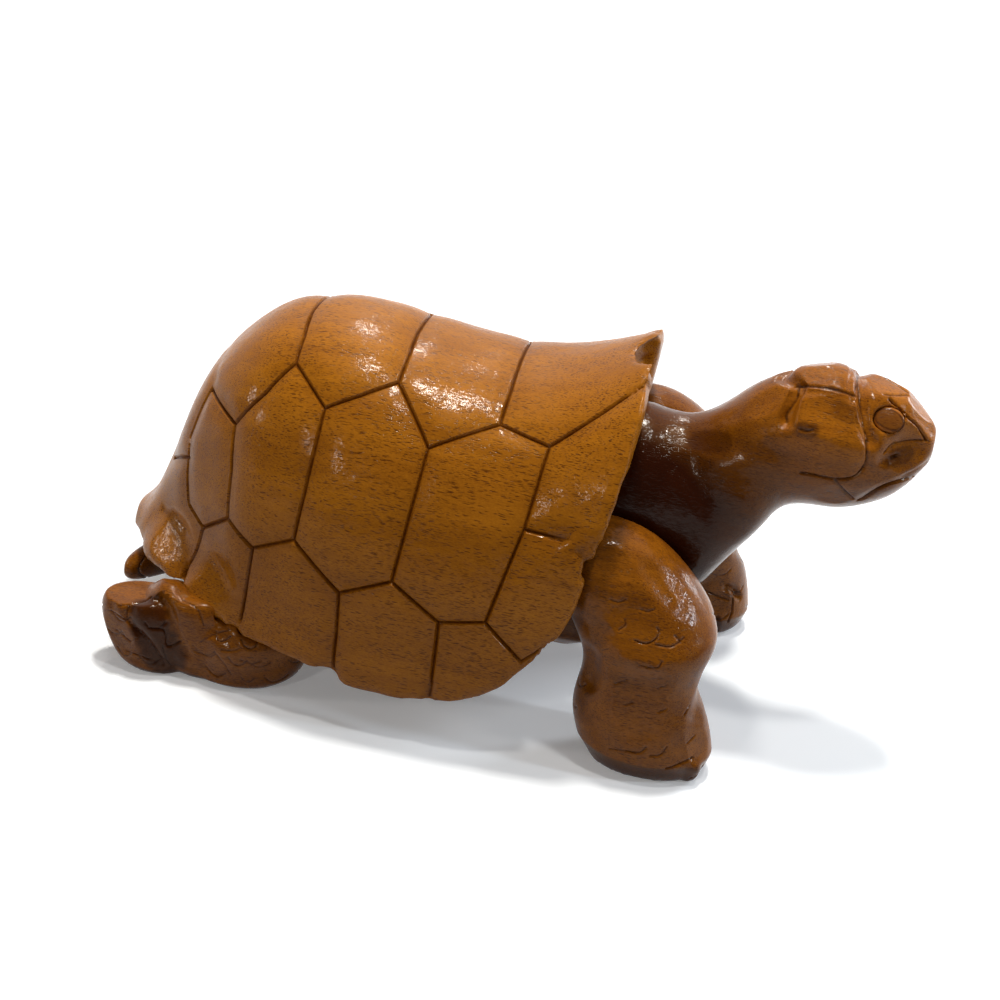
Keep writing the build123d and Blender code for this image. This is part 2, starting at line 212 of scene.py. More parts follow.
def read_points(blank):
    """The points of a blank and the way each one faces, as two tables."""
    count = len(blank.data.vertices)
    points = np.empty(count * 3, np.float32)
    blank.data.vertices.foreach_get("co", points)
    facings = np.empty(count * 3, np.float32)
    blank.data.vertex_normals.foreach_get("vector", facings)
    return points.reshape(-1, 3), facings.reshape(-1, 3)


def write_points(blank, points):
    """Moves the points of a blank."""
    blank.data.vertices.foreach_set("co", points.astype(np.float32).ravel())
    blank.data.update()


def away_from(points, marks, reach):
    """How far each point is from the nearest mark; those out of reach are left far away."""
    away = np.full(len(points), out_of_reach, np.float32)
    low, high = marks.min(0) - reach, marks.max(0) + reach
    near = np.flatnonzero(((points > low) & (points < high)).all(1))
    if len(near):
        close = points[near]
        best = np.full(len(near), out_of_reach, np.float32)
        for mark in marks:
            best = np.minimum(best, ((close - mark) ** 2).sum(1))
        away[near] = np.sqrt(best)
    return away


def beside(points, runs, reach):
    """Which points lie within reach of any of some runs of marks."""
    near = np.zeros(len(points), bool)
    for marks in runs:
        near |= away_from(points, marks, reach) < reach
    return near


def paint(blank, name, values):
    """Keeps one number for each point, for a material to read."""
    layer = blank.data.attributes.get(name) or blank.data.attributes.new(name, "FLOAT", "POINT")
    layer.data.foreach_set("value", values.astype(np.float32))


def read_paint(blank, name):
    """The numbers kept for each point, or none yet."""
    values = np.zeros(len(blank.data.vertices), np.float32)
    layer = blank.data.attributes.get(name)
    if layer:
        layer.data.foreach_get("value", values)
    return values


def wavy(points, size, seed):
    """A soft random swell over the wood, from -1 to 1, the same on every run."""
    shift = Vector((seed * 7.1, seed * 3.3, seed * 5.7))
    return np.array([noise.noise(Vector(p) / size + shift) for p in points], np.float32)


# %% [markdown]
# ## The shell
# The scutes are outlined with a V-shaped gouge and their edges are rubbed round, so that each
# plate swells a little between its grooves. The corners are read off the photograph on
# the near side and mirrored to the far side. Three planes cut the net along each groove, for its
# two lips and its floor, which keeps the cut crisp however coarse the net is.

# %% Corners of the scutes, in pixels of the photograph
scute_corners = {
    "v0": (210, 388), "v1": (233, 424), "v2": (295, 362), "v3": (324, 408), "v4": (399, 381),
    "v5": (428, 448), "v6": (500, 423), "v7": (549, 446), "v8": (648, 382),
    "l0": (187, 504), "l1": (201, 528), "l2": (226, 519), "l3": (251, 549), "l4": (292, 541),
    "l5": (338, 594), "l6": (391, 583), "l7": (438, 624), "l8": (485, 624), "l9": (521, 662),
    "l10": (551, 655), "f0": (524, 530), "f1": (598, 547), "m1": (182, 575), "m3": (239, 621),
    "m5": (333, 672), "m7": (429, 700), "r0": (187, 457), "r1": (172, 457), "q0": (189, 436),
}
ridge_marks = {"v2": (315, 300), "v4": (425, 313), "v6": (525, 345)}
scute_lines = (
    "v0 v1", "v1 v2", "v2 v3", "v3 v4", "v4 v5", "v5 v6", "v6 v7", "v7 v8", "v1 l2", "v3 l4",
    "v5 l6", "v7 f0", "f0 l8", "f0 f1", "v0 q0", "q0 l0", "l0 l1", "l1 l2", "l2 l3", "l3 l4",
    "l4 l5", "l5 l6", "l6 l7", "l7 l8", "l8 l9", "l9 l10", "l1 m1", "l3 m3", "l5 m5", "l7 m7",
    "r0 r1",
)
print(len(scute_lines), "grooves on the near side")

# %% Put the grooves on the shell
shell_net = 1.25 * mm
guide_net = 2.5 * mm
groove_piece = 16 * mm
rim_sharpness = math.radians(24)
marks_each = 16
halvings = 20

guide = even_skin("carapace", "shell_guide", guide_net, 9)
shell_tree = skin_tree(guide)
bpy.data.objects.remove(guide)
shell = even_skin("carapace", "shell", shell_net, 6)
soften_rims(shell, rim_sharpness, rings=3, passes=12)


def mirrored(vector):
    """The same place on the other side of the figure."""
    return Vector((vector.x, -vector.y, vector.z))


def groove_run(first, last):
    """Short straight stretches of a groove between two pixels, each with its two facings."""
    start, end = touched(shell_tree, first)[0], touched(shell_tree, last)[0]
    count = max(1, round((end - start).length / groove_piece))
    stops = [touched(shell_tree, Vector(first).lerp(Vector(last), step / count))
             for step in range(count + 1)]
    return [(a, b, (na + nb).normalized()) for (a, na), (b, nb) in zip(stops, stops[1:])]


def at_the_ridge(first, silhouette):
    """The last pixel, on a line to the silhouette, whose wood is on the near side."""
    first, silhouette = Vector(first), Vector(silhouette)
    low, high = 0.0, 1.0
    for _ in range(halvings):
        middle = (low + high) / 2
        if touched(shell_tree, first.lerp(silhouette, middle))[0].y > 0:
            high = middle
        else:
            low = middle
    return tuple(first.lerp(silhouette, low))


grooves = []
for line in scute_lines:
    first, last = (scute_corners[corner] for corner in line.split())
    grooves += groove_run(first, last)
for corner, silhouette in ridge_marks.items():
    first = scute_corners[corner]
    grooves += groove_run(first, at_the_ridge(first, silhouette))
grooves += [(mirrored(b), mirrored(a), mirrored(n)) for a, b, n in grooves]
ease(shell, [np.array([start.lerp(end, step / marks_each) for step in range(marks_each + 1)])
             for start, end, _ in grooves], reach=2.3 * mm, passes=18)
print(len(grooves), "stretches of groove on the whole shell")

# %% Cut the lips and the floor of each groove into the net
groove_half = 0.85 * mm
groove_depth = 1.0 * mm
band_half = 2.6 * mm
cut_half = 2.2 * mm
surface_band = 4 * mm
snap = 0.02 * mm


def measured(points, start, end, facing):
    """How far points lie along a stretch of groove, across it and above it."""
    ahead = (end - start).normalized()
    from_start = points - np.array(start)
    return (from_start @ np.array(ahead),
            from_start @ np.array(ahead.cross(facing).normalized()),
            from_start @ np.array(facing))


def read_faces(faces):
    """Where some faces are and the way each one faces, as two tables."""
    return (np.array([face.calc_center_median() for face in faces]),
            np.array([face.normal for face in faces]))


def near_stretch(centres, facings, start, end, facing, reach):
    """Which faces lie along one stretch of groove, on the outside of the shell."""
    lengthwise, across, above = measured(centres, start, end, facing)
    return ((np.abs(across) < reach) & (np.abs(above) < surface_band)
            & (lengthwise > -reach) & (lengthwise < (end - start).length + reach)
            & (facings @ np.array(facing) > 0.3))


with opened(shell.data) as shape:
    faces = list(shape.faces)
    centres, facings = read_faces(faces)
    in_band = np.zeros(len(faces), bool)
    for start, end, facing in grooves:
        in_band |= near_stretch(centres, facings, start, end, facing, band_half)
    band = {faces[i] for i in np.flatnonzero(in_band)}
    for start, end, facing in grooves:
        faces = list(band)
        found = [faces[i] for i in np.flatnonzero(
            near_stretch(*read_faces(faces), start, end, facing, cut_half))]
        across_way = (end - start).cross(facing).normalized()
        for offset in (0, -groove_half, groove_half):
            geometry = set(found)
            for face in found:
                geometry.update(face.edges)
                geometry.update(face.verts)
            made = bmesh.ops.bisect_plane(
                shape, geom=list(geometry), dist=snap,
                plane_co=start + across_way * offset, plane_no=across_way)
            found = [item for item in made["geom"] if isinstance(item, bmesh.types.BMFace)]
            band.update(found)
    split_many_sided(shape)
print("the cut net has", len(shell.data.polygons), "faces")

# %% Press the grooves in and round the plates beside them
plate_round = 0.55 * mm
plate_reach = 4.2 * mm
plate_swell = 0.16 * mm
stain_reach = 2.2 * mm
rim_flares = (((160, 548), 13 * mm, 3.0 * mm), ((201, 590), 13 * mm, 2.8 * mm))

points, facings = read_points(shell)
groove_away = np.full(len(points), out_of_reach, np.float32)
for start, end, facing in grooves:
    lengthwise, across, above = measured(points, start, end, facing)
    past_end = np.maximum(0, np.maximum(-lengthwise, lengthwise - (end - start).length))
    away = np.hypot(across, past_end)
    held = (facings @ np.array(facing) > 0.1) & (np.abs(above) < 2 * surface_band)
    groove_away = np.where(held, np.minimum(groove_away, away), groove_away)
rim_swell = np.zeros(len(points), np.float32)
for pixel, width, height in rim_flares:
    place = touched(shell_tree, pixel)[0]
    for centre in (place, mirrored(place)):
        share = np.clip(1 - np.linalg.norm(points - np.array(centre), axis=1) / width, 0, 1)
        rim_swell = np.maximum(rim_swell, height * share ** 2 * (3 - 2 * share))
in_groove = np.clip(1 - groove_away / groove_half, 0, 1)
cut = in_groove * groove_depth * (1 + 0.22 * wavy(points, 9 * mm, 1))
rounding = plate_round * np.exp(-(groove_away / plate_reach) ** 2)
swell = plate_swell * wavy(points, 13 * mm, 2)
outside = groove_away < out_of_reach
sink = (cut + rounding + plate_swell) * outside - swell - rim_swell
write_points(shell, points - facings * sink[:, None])
paint(shell, "groove", in_groove)
paint(shell, "beside_groove", np.exp(-groove_away / stain_reach))
print("deepest groove", round(float(cut.max() / mm), 2), "mm")

# %% [markdown]
# ## Wood
# The wood is one material recipe with a few tunes: a golden one for the shell, a redder one for
# the body, a pinker one for the eyes and a pale one for the dowels. The grain runs lengthwise,
# so every pattern is drawn out along X. Cells stretched that way give the open pores, which show
# as dashes on the sides and as dots where the wood is cut across. Coat on top is lacquer, and
# its bump breaks up the glints.

# %% A short way to build node trees
class NodeTree:
    """The node tree of a material or a world, with short ways to add nodes and to join them."""

    def __init__(self, owner):
        owner.use_nodes = True
        self.tree = owner.node_tree
        self.tree.nodes.clear()

    def node(self, kind, inputs=None, **settings):
        """A node. Each input is a plain value or the output of another node."""
        made = self.tree.nodes.new(kind)
        for name, value in settings.items():
            setattr(made, name, value)
        for name, value in (inputs or {}).items():
            if isinstance(value, bpy.types.NodeSocket):
                self.tree.links.new(value, made.inputs[name])
            else:
                made.inputs[name].default_value = value
        return made

    def math_of(self, operation, *values, clamp=False):
        """The result of a sum, a product or the like."""
        return self.node("ShaderNodeMath", dict(enumerate(values)),
                         operation=operation, use_clamp=clamp).outputs[0]

    def ramp(self, value, low, high, base=0.0):
        """Goes smoothly from base, where a value is low, up to 1, where it's high."""
        return self.node("ShaderNodeMapRange", {
            "Value": value, "From Min": low, "From Max": high, "To Min": base,
        }, interpolation_type="SMOOTHSTEP").outputs[0]

    def mix(self, share, first, second):
        """A colour between two others."""
        return self.node("ShaderNodeMix", {"Factor": share, "A": first, "B": second},
                         data_type="RGBA").outputs["Result"]

    def place(self, kind):
        """Places on the object, or directions in the world."""
        return self.node("ShaderNodeTexCoord").outputs[kind]

    def surface(self, inputs):
        """Ends the tree of a material with its surface."""
        made = self.node("ShaderNodeBsdfPrincipled", inputs)
        self.node("ShaderNodeOutputMaterial", {"Surface": made.outputs[0]})


# %% A wood recipe
relief = 0.12 * mm
pore_wobble = 1.2 * mm


def wood(name, light, dark, stain, pore, roughness, coat, pore_amount, band_amount):
    """Lacquered hardwood whose grain runs along X, darker in the carved grooves."""
    material = bpy.data.materials.new(name)
    tree = NodeTree(material)
    math_of, ramp, mix = tree.math_of, tree.ramp, tree.mix
    place = tree.place("Object")

    def stretched(along, turn=0.0):
        return tree.node("ShaderNodeMapping", {
            "Vector": place, "Scale": (along, 1, 1), "Rotation": (0, turn, 0)}).outputs[0]

    def cloud(vector, scale, detail=3.0, rough=0.55):
        return tree.node("ShaderNodeTexNoise", {
            "Vector": vector, "Scale": scale, "Detail": detail, "Roughness": rough,
        }).outputs["Fac"]

    def painted(attribute):
        return tree.node("ShaderNodeAttribute", attribute_name=attribute).outputs["Fac"]

    def bump(height, strength):
        return tree.node("ShaderNodeBump", {
            "Height": height, "Strength": strength, "Distance": relief}).outputs[0]

    # Colour of the wood: broad tone bands, finer figure, fibres and mottle, drawn out lengthwise
    tone = ramp(cloud(stretched(0.22, turn=0.12), 60), 0.32, 0.68)
    tone = math_of("MULTIPLY_ADD", tone, band_amount, (1 - band_amount) / 2)
    figure = ramp(cloud(stretched(0.08, turn=0.08), 340, detail=4.0), 0.35, 0.65)
    fibres = ramp(cloud(stretched(0.03, turn=0.08), 2600, detail=2.0), 0.3, 0.7)
    mottle = ramp(cloud(stretched(0.5), 2500, detail=2.0, rough=0.6), 0.3, 0.7)
    shade = math_of("MULTIPLY", tone, 0.36)
    for pattern, weight in ((figure, 0.2), (fibres, 0.14), (mottle, 0.3)):
        shade = math_of("MULTIPLY_ADD", pattern, weight, shade)
    colour = mix(shade, dark, light)

    # Open pores: a coarse set and a fine one, each present in patches
    def pore_set(scale, along, width, patch):
        wobble = tree.node("ShaderNodeTexNoise", {"Vector": place, "Scale": 260})
        shifted = tree.node("ShaderNodeVectorMath", {
            0: wobble.outputs["Color"], 1: (0, pore_wobble, pore_wobble),
            2: stretched(along, turn=0.1)}, operation="MULTIPLY_ADD")
        cells = tree.node("ShaderNodeTexVoronoi", {
            "Vector": shifted.outputs[0], "Scale": scale}, feature="F1")
        dash = ramp(cells.outputs["Distance"], width, width * 0.45)
        present = ramp(cloud(stretched(0.3), patch, detail=2.0), 0.28, 0.5)
        return math_of("MULTIPLY", dash, present)

    pores = math_of("MAXIMUM", pore_set(1700, 0.13, 0.36, 150),
                    math_of("MULTIPLY", pore_set(2600, 0.14, 0.4, 90), 0.75))
    colour = mix(math_of("MULTIPLY", pores, pore_amount), colour, pore)

    # Knots, stain that stays in the cuts after the wood is rubbed down, and painted shade, all
    # mixed toward the stain colour: the painted numbers also darken the neck under the shell, the
    # limbs, soles, tail and trunk, and dark pits and hollows
    patchy = ramp(cloud(place, 700), 0.25, 0.6)
    in_groove = math_of("MULTIPLY", ramp(painted("groove"), 0.15, 0.95),
                        math_of("MULTIPLY_ADD", patchy, 0.4, 0.45), clamp=True)
    for share in (math_of("MULTIPLY", painted("knot"), 0.55, clamp=True),
                  math_of("MULTIPLY", painted("beside_groove"), 0.3, clamp=True), in_groove):
        colour = mix(share, colour, stain)

    # Lacquer: fine orange peel breaks the glints into speckle
    peel = cloud(stretched(0.6), 1350, detail=2.0, rough=0.6)
    swell = cloud(place, 240, detail=2.0)
    wood_height = math_of("MULTIPLY_ADD", pores, -0.5, math_of("MULTIPLY", fibres, 0.12))
    coat_height = math_of("MULTIPLY_ADD", pores, -0.3, math_of("MULTIPLY", peel, 0.42))
    coat_height = math_of("ADD", coat_height, math_of("MULTIPLY", swell, 2.2))
    tree.surface({
        "Base Color": colour,
        "Roughness": math_of("MULTIPLY_ADD", figure, 0.12, roughness),
        "Specular IOR Level": 0.06,
        "Specular Tint": (1.0, 0.62, 0.25, 1),
        "Coat Weight": coat,
        "Coat Roughness": 0.11,
        "Coat IOR": 1.32,
        "Normal": bump(wood_height, 0.45),
        "Coat Normal": bump(coat_height, 1.0),
    })
    print("mixed", name)
    return material


# %% Mix the woods
recipes = {
    "shell_wood": {
        "light": (0.44, 0.156, 0.008, 1), "dark": (0.21, 0.064, 0.003, 1),
        "stain": (0.075, 0.016, 0.001, 1), "pore": (0.050, 0.010, 0.001, 1),
        "roughness": 0.36, "coat": 0.34, "pore_amount": 0.85, "band_amount": 0.9},
    "body_wood": {
        "light": (0.46, 0.150, 0.007, 1), "dark": (0.13, 0.032, 0.002, 1),
        "stain": (0.026, 0.004, 0.0005, 1), "pore": (0.03, 0.006, 0.001, 1),
        "roughness": 0.3, "coat": 0.5, "pore_amount": 0.65, "band_amount": 1.0},
    "eye_wood": {
        "light": (0.42, 0.140, 0.014, 1), "dark": (0.18, 0.050, 0.007, 1),
        "stain": (0.040, 0.010, 0.004, 1), "pore": (0.04, 0.010, 0.003, 1),
        "roughness": 0.34, "coat": 0.4, "pore_amount": 0.5, "band_amount": 0.9},
    "dowel_wood": {
        "light": (0.55, 0.36, 0.17, 1), "dark": (0.42, 0.25, 0.10, 1),
        "stain": (0.2, 0.1, 0.04, 1), "pore": (0.25, 0.13, 0.05, 1),
        "roughness": 0.6, "coat": 0.0, "pore_amount": 0.5, "band_amount": 0.6},
}
woods = {name: wood(name, **recipe) for name, recipe in recipes.items()}
crisp_edge = math.radians(38)


def dress(blank, slot, *nodes):
    """Finishes a carved piece: its wood, its smooth shading and its place under the root; the
    imported nodes that it stands for are hidden.
    """
    blank.data.materials.clear()
    blank.data.materials.append(woods[slot])
    blank.data.shade_smooth()
    blank.data.set_sharp_from_angle(angle=crisp_edge)
    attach(blank, "root")
    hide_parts(*nodes)


# %% [markdown]
# ## Carving strokes
# Everything on the body is cut by hand in the real figure, so a stroke is the unit here: a line
# of pixels, how wide the tool is and how deep it goes. Each stroke is laid on the wood first.
# The net is made finer beside it, and its points then sink along it, or swell where the depth
# is negative.

# %% Lay a stroke on the wood
stroke_step = 0.35 * mm


def curved(pixels):
    """More pixels between the given ones, so that a line bends softly through them."""
    if len(pixels) < 3:
        return [Vector(pixel) for pixel in pixels]
    line = [Vector(pixel) for pixel in pixels]
    line = [line[0] * 2 - line[1], *line, line[-1] * 2 - line[-2]]
    bent = []
    for a, b, c, d in zip(line, line[1:], line[2:], line[3:]):
        for t in (0, 0.25, 0.5, 0.75):
            bent.append((b * 2 + (c - a) * t + (a * 2 - b * 5 + c * 4 - d) * t ** 2
                         + (b * 3 - a - c * 3 + d) * t ** 3) / 2)
    return [*bent, line[-2]]


def along(tree, stops):
    """Places close together on the wood, from stop to stop."""
    marks = [tree.find_nearest(stops[0])[0]]
    for a, b in zip(stops, stops[1:]):
        count = max(1, math.ceil((b - a).length / stroke_step))
        marks += [tree.find_nearest(a.lerp(b, (step + 1) / count))[0] for step in range(count)]
    return np.array(marks)


def laid(blank, strokes, carries=(None,), base=None):
    """Runs of marks for strokes of (pixels, width, depth), once for each way to carry them."""
    tree = skin_tree(blank)
    runs = []
    for pixels, width, depth in strokes:
        stops = [touched(base or tree, pixel)[0] for pixel in curved(pixels)]
        for carry in carries:
            runs.append((along(tree, [carry(stop) if carry else stop for stop in stops]),
                         width, depth))
    return runs


# %% Carve a set of strokes
def refine(blank, runs, reach):
    """Splits the faces beside the strokes, so that a thin cut has enough points."""
    near = beside(read_points(blank)[0], [marks for marks, _, _ in runs], reach)
    with opened(blank.data) as shape:
        edges = [edge for edge in shape.edges
                 if near[edge.verts[0].index] and near[edge.verts[1].index]]
        bmesh.ops.subdivide_edges(shape, edges=edges, cuts=1, use_grid_fill=True, smooth=0.0)
        split_many_sided(shape)


def carve(blank, runs, profile, fine=None):
    """Cuts runs of marks into a blank. Where fine is given, the net is split, the cut stained."""
    if fine:
        refine(blank, runs, fine)
    points, facings = read_points(blank)
    stain = read_paint(blank, "groove")
    sink = np.zeros(len(points), np.float32)
    for marks, width, depth in runs:
        share = np.clip(1 - away_from(points, marks, width / 2) / (width / 2), 0, 1)
        shaped = profile(share) * depth
        sink = np.where(np.abs(shaped) > np.abs(sink), shaped, sink)
        if fine:
            stain = np.maximum(stain, share)
    write_points(blank, points - facings * sink[:, None])
    paint(blank, "groove", stain)
    print(blank.name, "took", len(runs), "strokes")


def knife(share):
    """A V-shaped cut."""
    return share


def gouge(share):
    """A round hollow, or a round swell, that runs out softly."""
    return share ** 2 * (3 - 2 * share)


# %% Flat cuts of a wide chisel, and dark spots for knots and painted shade
facing_patch = 3 * mm


def pare(blank, cuts, carries=(None,), base=None):
    """Flats of (pixel, reach, depth), each cut square to the way the wood faces there."""
    tree = skin_tree(blank)
    points, facings = read_points(blank)
    for pixel, reach, depth in cuts:
        place = touched(base or tree, pixel)[0]
        for carry in carries:
            centre = np.array(tree.find_nearest(carry(place) if carry else place)[0])
            away = np.linalg.norm(points - centre, axis=1)
            facing = facings[away < facing_patch].mean(0)
            facing /= np.linalg.norm(facing)
            proud = np.clip((points - centre) @ facing + depth, 0, None)
            proud *= np.clip(2 - 2 * away / reach, 0, 1) * (facings @ facing > 0)
            points = points - proud[:, None] * facing
    write_points(blank, points)


def spots(blank, marks_and_widths, carries=(None,), base=None):
    """How dark each point is beside lines of (pixels, width), from 0 to 1."""
    points, _ = read_points(blank)
    uneven = 1.7 + 0.9 * wavy(points, 2.6 * mm, 5)
    dark = np.zeros(len(points), np.float32)
    for marks, width, _ in laid(blank, [(*spot, 0) for spot in marks_and_widths], carries, base):
        near = np.clip(1 - away_from(points, marks, width) / width, 0, 1)
        dark = np.maximum(dark, np.clip(near * 2.2 * uneven - 0.6, 0, 1))
    return dark


# %% Flare and chips of the rim, and the finished shell
both_sides = (None, mirrored)
pare(shell, (
    ((164, 545), 13 * mm, 0.9 * mm),
    ((205, 589), 13 * mm, 0.9 * mm),
), both_sides)
carve(shell, laid(shell, (
    ([(186, 566), (182, 582)], 4.5 * mm, 1.8 * mm),
    ([(163, 508), (176, 516), (186, 530)], 4.0 * mm, 0.8 * mm),
    ([(581, 554), (587, 565), (584, 576)], 5.0 * mm, 1.5 * mm),
    ([(646, 360), (650, 372)], 5.0 * mm, 0.9 * mm),
), both_sides), gouge)
dress(shell, "shell_wood", "carapace")

# %% Skin scales by rule
ring_half = 1.5 * mm
crescent_steps = (-1, -0.6, -0.2, 0.2, 0.6, 1)


def in_the_photo(place):
    """Whether a place is on the near front leg's outer side, where the cuts are read instead."""
    return place.y < -44 * mm and place.x > 20 * mm


def crescents(blank, levels, around, reach, keep):
    """Hanging crescent cuts in rows round a limb, where keep(places) allows them."""
    rolls = random.Random(blank.name)
    tree = skin_tree(blank)
    points, _ = read_points(blank)
    runs = []
    for row, level in enumerate(levels):
        ring = points[keep(points) & (np.abs(points[:, 2] - level) < ring_half)]
        if not len(ring):
            continue
        middle = (ring.min(0) + ring.max(0)) / 2
        for place in range(around):
            turn = (place + row % 2 / 2 + rolls.uniform(-0.18, 0.18)) / around * math.tau
            half = math.pi / around * rolls.uniform(0.5, 0.72)
            drop = rolls.uniform(1.6, 2.6) * mm
            stops = []
            for step in crescent_steps:
                ahead = Vector((math.cos(turn + half * step), math.sin(turn + half * step), 0))
                start = Vector((middle[0], middle[1], level + drop * (step * step - 0.5)))
                found = tree.ray_cast(start, ahead, reach)[0]
                if found is not None:
                    stops.append(found)
            whole = len(stops) == len(crescent_steps) and keep(np.array(stops)).all()
            if whole and not in_the_photo(stops[0]):
                runs.append((along(tree, stops), rolls.uniform(0.9, 1.2) * mm,
                             rolls.uniform(0.35, 0.5) * mm))
    return runs


# %% [markdown]
# ## Head and neck
# The head is a long ball with flats cut by a wide gouge: a plate on top, a brow, a beak with two
# slanting facets, and below them the jaw line and the mouth. Broad forms come first, with the
# round gouge, and the knife lines are then laid on the shape they leave.

# %% Rough out the head
head_net = 0.8 * mm

head = even_skin("head_and_neck", "head", head_net, 3)
rear_channel = [(783, 376), (799, 388), (793, 399), (786, 421)]
brow_band = [(855, 367), (857, 397), (862, 425), (867, 441)]
mouth = [(859, 500), (864, 498), (878, 489), (892, 483), (911, 478), (924, 474)]
packed_cuts = laid(head, [(pixels, 0, 0) for pixels in (rear_channel, brow_band, mouth)],
                   both_sides)
ease(head, [marks for marks, _, _ in packed_cuts], reach=2.4 * mm, passes=14)
carve(head, laid(head, (
    (rear_channel, 7.5 * mm, 1.7 * mm),
    ([(862, 366), (863, 397), (868, 425), (873, 441)], 7.0 * mm, 1.0 * mm),
    ([(861, 379)], 9.0 * mm, 0.8 * mm),
    ([(800, 391), (826, 393), (852, 400)], 5.0 * mm, 0.6 * mm),
    ([(886, 462), (902, 454), (918, 452)], 9.0 * mm, 1.9 * mm),
    ([(908, 412), (922, 420), (932, 430)], 8.0 * mm, 0.8 * mm),
    ([(690, 438), (712, 442), (740, 448)], 14.0 * mm, 0.6 * mm),
    ([(690, 470), (730, 520)], 16.0 * mm, 1.0 * mm),
    ([(770, 450), (800, 462)], 12.0 * mm, 0.7 * mm),
    ([(868, 468), (885, 476)], 9.0 * mm, 0.7 * mm),
), both_sides), gouge)
carve(head, laid(head, (
    ([(690, 572), (712, 548), (738, 518)], 36.0 * mm, -3.5 * mm),
    ([(812, 430), (835, 444), (850, 449)], 16.0 * mm, -0.9 * mm),
    ([(852, 372), (854, 397), (859, 423), (864, 439)], 2.6 * mm, -0.5 * mm),
    ([(872, 398), (885, 394)], 9.0 * mm, -0.5 * mm),
    ([(900, 421), (910, 429), (921, 437)], 5.0 * mm, -0.5 * mm),
), both_sides), gouge)
pare(head, (
    ((818, 375), 15.0 * mm, 0.8 * mm),
    ((888, 386), 9.0 * mm, 0.6 * mm),
    ((832, 410), 14.0 * mm, 0.9 * mm),
    ((922, 406), 10.0 * mm, 0.9 * mm),
    ((911, 431), 7.0 * mm, 0.5 * mm),
    ((906, 455), 11.0 * mm, 0.8 * mm),
    ((835, 496), 10.0 * mm, 0.6 * mm),
    ((770, 400), 14.0 * mm, 0.6 * mm),
), both_sides)

# %% Knife lines of the head
carve(head, laid(head, (
    ([(797, 387), (812, 386), (826, 388), (840, 391), (855, 396)], 1.7 * mm, 0.6 * mm),
    ([(799, 387), (797, 398), (787, 414), (787, 422)], 1.6 * mm, 0.5 * mm),
    ([(857, 372), (859, 397), (863, 424), (868, 441)], 1.5 * mm, 0.4 * mm),
    ([(867, 441), (867, 452), (866, 463), (857, 475), (846, 479), (834, 479), (818, 476),
      (801, 473)], 1.5 * mm, 0.8 * mm),
    ([(834, 479), (842, 489), (853, 499)], 1.5 * mm, 0.8 * mm),
    (mouth, 1.8 * mm, 1.4 * mm),
    ([(890, 399), (895, 405), (901, 411), (909, 418), (918, 426), (926, 440)], 1.5 * mm, 1.1 * mm),
    ([(884, 394), (896, 395), (908, 395)], 1.4 * mm, 0.6 * mm),
    ([(884, 453), (893, 444), (913, 440), (929, 441)], 1.0 * mm, 0.45 * mm),
    ([(892, 459), (897, 457)], 2.6 * mm, 1.6 * mm),
    ([(800, 429), (806, 431), (813, 430)], 1.6 * mm, 0.5 * mm),
), both_sides), knife, fine=1.6 * mm)

# %% Painted shade on the neck and in the dark pits, and the cheek knots
neck_start, neck_end = 32 * mm, 84 * mm
throat, throat_depth = 108 * mm, 26 * mm

points, _ = read_points(head)
toward_shell = np.clip((neck_end - points[:, 0]) / (neck_end - neck_start), 0, 1)
underside = np.clip((throat - points[:, 2]) / throat_depth, 0, 1)
# Painted shade: the neck darkens toward the shell, whose rim shades it, and on its underside, over
# a light even tint of stain
paint(head, "beside_groove",
      0.3 + 2.0 * toward_shell ** 0.6 + 1.3 * underside * toward_shell + 1.4 * underside)
# Painted shade in the small pits on the side of the head, in the neck hollow and in the nostril;
# the pale spot is the cheek knot's own colour
painted_shade_spots = spots(head, (
    ([(803, 430), (812, 431)], 3.4 * mm),
    ([(700, 440), (722, 443)], 5.0 * mm),
    ([(893, 459), (906, 455)], 4.0 * mm),
), both_sides)
pale_spot = spots(head, (([(841, 411), (850, 415)], 4.4 * mm),), both_sides)
paint(head, "knot", np.maximum(painted_shade_spots, 0.6 * pale_spot))
dress(head, "body_wood", "head_and_neck")

# %% [markdown]
# ## Eyes
# Each eye is an oval plug, rubbed down until it follows the head. The eye itself is a thin dark
# outline drawn on the plug, tilted a little, with darker wood inside.

# %% Round the eyes
eye_net = 0.4 * mm
eye_lean = math.radians(40)
eye_rim = 4.3 * mm
eye_sink = 0.45 * mm
eye_drop = 0.8 * mm
eye_face = 1.2 * mm
pupil_long, pupil_tall = 4.6 * mm, 2.9 * mm
pupil_tilt = math.radians(-15)
forward = np.array((1, 0, 0))

for side, sign in (("right", -1), ("left", 1)):
    eye = even_skin(f"{side}_eye", f"{side}_eye_plug", eye_net, 2)
    points, _ = read_points(eye)
    out = np.array((0, sign * math.cos(eye_lean), math.sin(eye_lean)))
    middle = (points.max(0) + points.min(0)) / 2
    up = (points - middle) @ out
    from_axis = np.linalg.norm(points - middle - up[:, None] * out, axis=1)
    on_face = up > up.max() - eye_face
    share = np.clip(from_axis / eye_rim, 0, 1)
    points = points - out * (on_face * (eye_sink + eye_drop * share ** 2))[:, None]
    write_points(eye, points)
    aloft = np.cross(forward, out) * sign
    long_way = (points - middle) @ (forward * math.cos(pupil_tilt) + aloft * math.sin(pupil_tilt))
    tall_way = (points - middle) @ (aloft * math.cos(pupil_tilt) - forward * math.sin(pupil_tilt))
    within = np.hypot(long_way / pupil_long, tall_way / pupil_tall)
    paint(eye, "groove", np.clip(1.6 - np.abs(within - 1) / 0.1, 0, 1))
    paint(eye, "knot", np.clip((1 - within) * 8, 0, 1))
    dress(eye, "eye_wood", f"{side}_eye")
